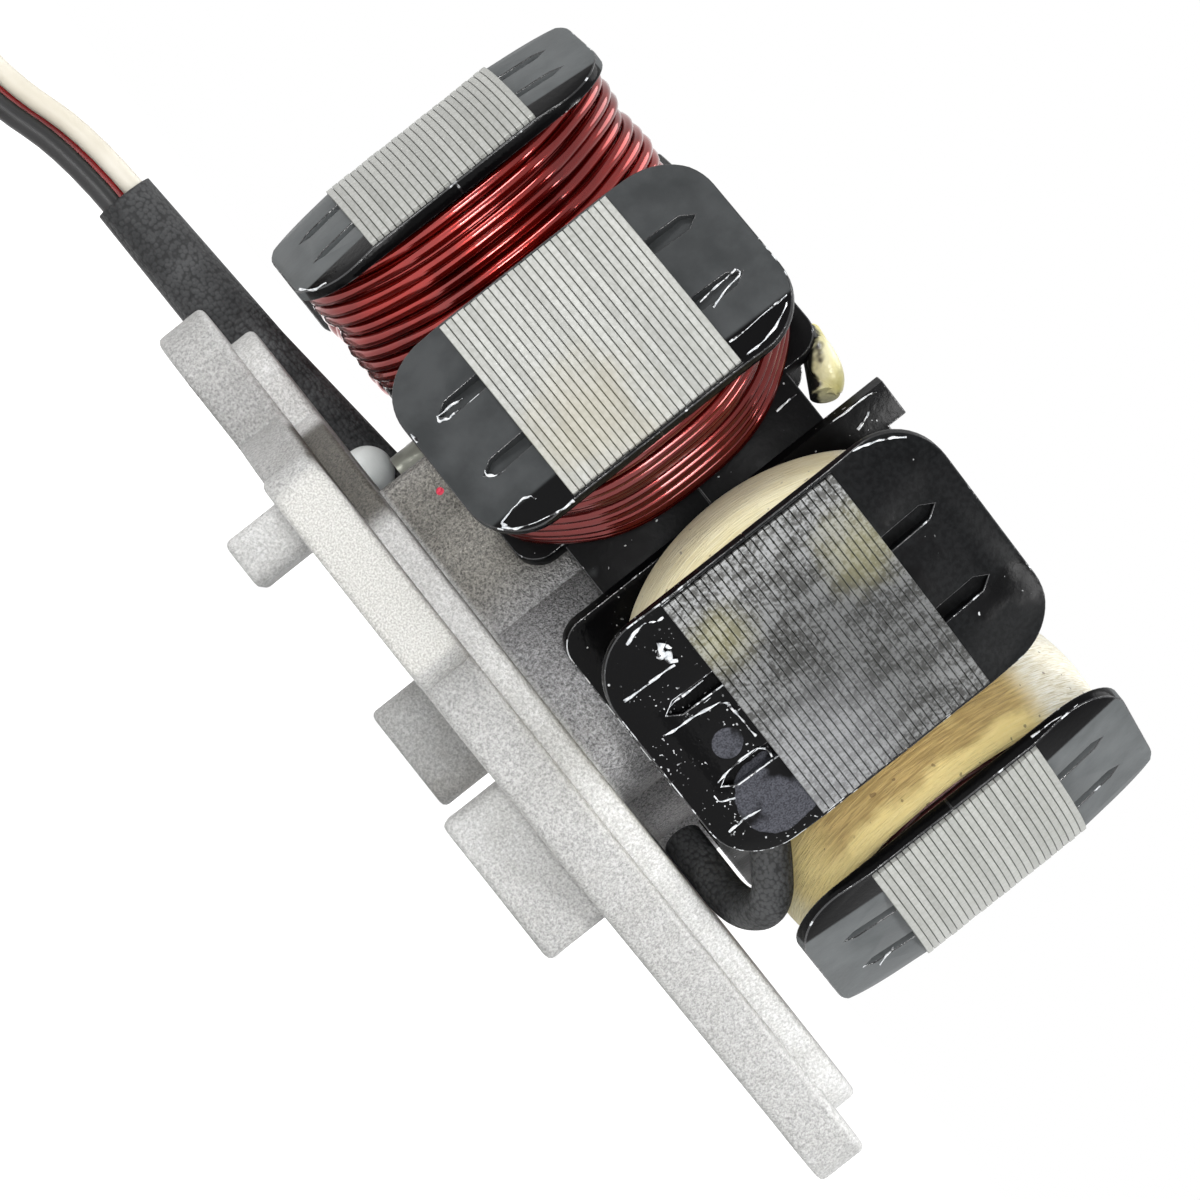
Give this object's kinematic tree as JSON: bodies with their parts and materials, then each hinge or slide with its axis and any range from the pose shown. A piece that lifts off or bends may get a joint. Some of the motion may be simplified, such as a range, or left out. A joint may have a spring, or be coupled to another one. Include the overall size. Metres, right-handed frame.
{
  "type": "wound stator",
  "caption": "Flywheel magneto stator: laminated salient-pole core with red charging coils and taped ignition coils on a die-cast base plate, with sleeved leads.",
  "frame": {"origin": "on the crankshaft axis, at the back face of the base plate", "axes": "+Z along the crankshaft towards the flywheel, +X along the plate from the lead's side to the far fixing ear, +Y completes the right hand"},
  "size_m": [0.1525, 0.0754, 0.0465],
  "materials": {
    "cast_aluminium": "as die cast, fine grain",
    "lamination_steel": "punched edges, thin dark lines between the plates",
    "black_insulator": "moulded, varnished in places",
    "enamelled_copper": "red enamel on copper wire, glossy",
    "varnished_winding": "dark varnished copper wire",
    "cloth_tape": "cream woven tape, yellowed and stained",
    "screw_steel": "zinc plated",
    "woven_sleeve": "varnished black braid",
    "yellow_sleeve": "varnished light braid",
    "pale_sealant": "cured blob",
    "black_lead": "satin",
    "red_lead": "satin",
    "white_lead": "satin",
    "coiled_leads": "satin",
    "connector_plastic": "moulded"
  },
  "bodies": {
    "root": {"base_casting": "cast_aluminium", "charging_coil_1": "enamelled_copper", "charging_coil_2": "enamelled_copper", "charging_coil_3": "enamelled_copper", "charging_coil_4": "enamelled_copper", "charging_coil_5": "enamelled_copper", "charging_coil_6": "enamelled_copper", "core_laminations": "lamination_steel", "core_screws": "screw_steel", "front_wire_sleeve": "yellow_sleeve", "ignition_winding_1": "varnished_winding", "ignition_winding_2": "varnished_winding", "insulator_back": "black_insulator", "insulator_front": "black_insulator", "lead_black": "black_lead", "lead_coil": "coiled_leads", "lead_connector": "connector_plastic", "lead_red": "red_lead", "lead_seal": "pale_sealant", "lead_sleeve": "woven_sleeve", "lead_white": "white_lead", "loop_sleeve": "woven_sleeve", "tape_wrap_1": "cloth_tape", "tape_wrap_2": "cloth_tape"}
  },
  "joints": []
}
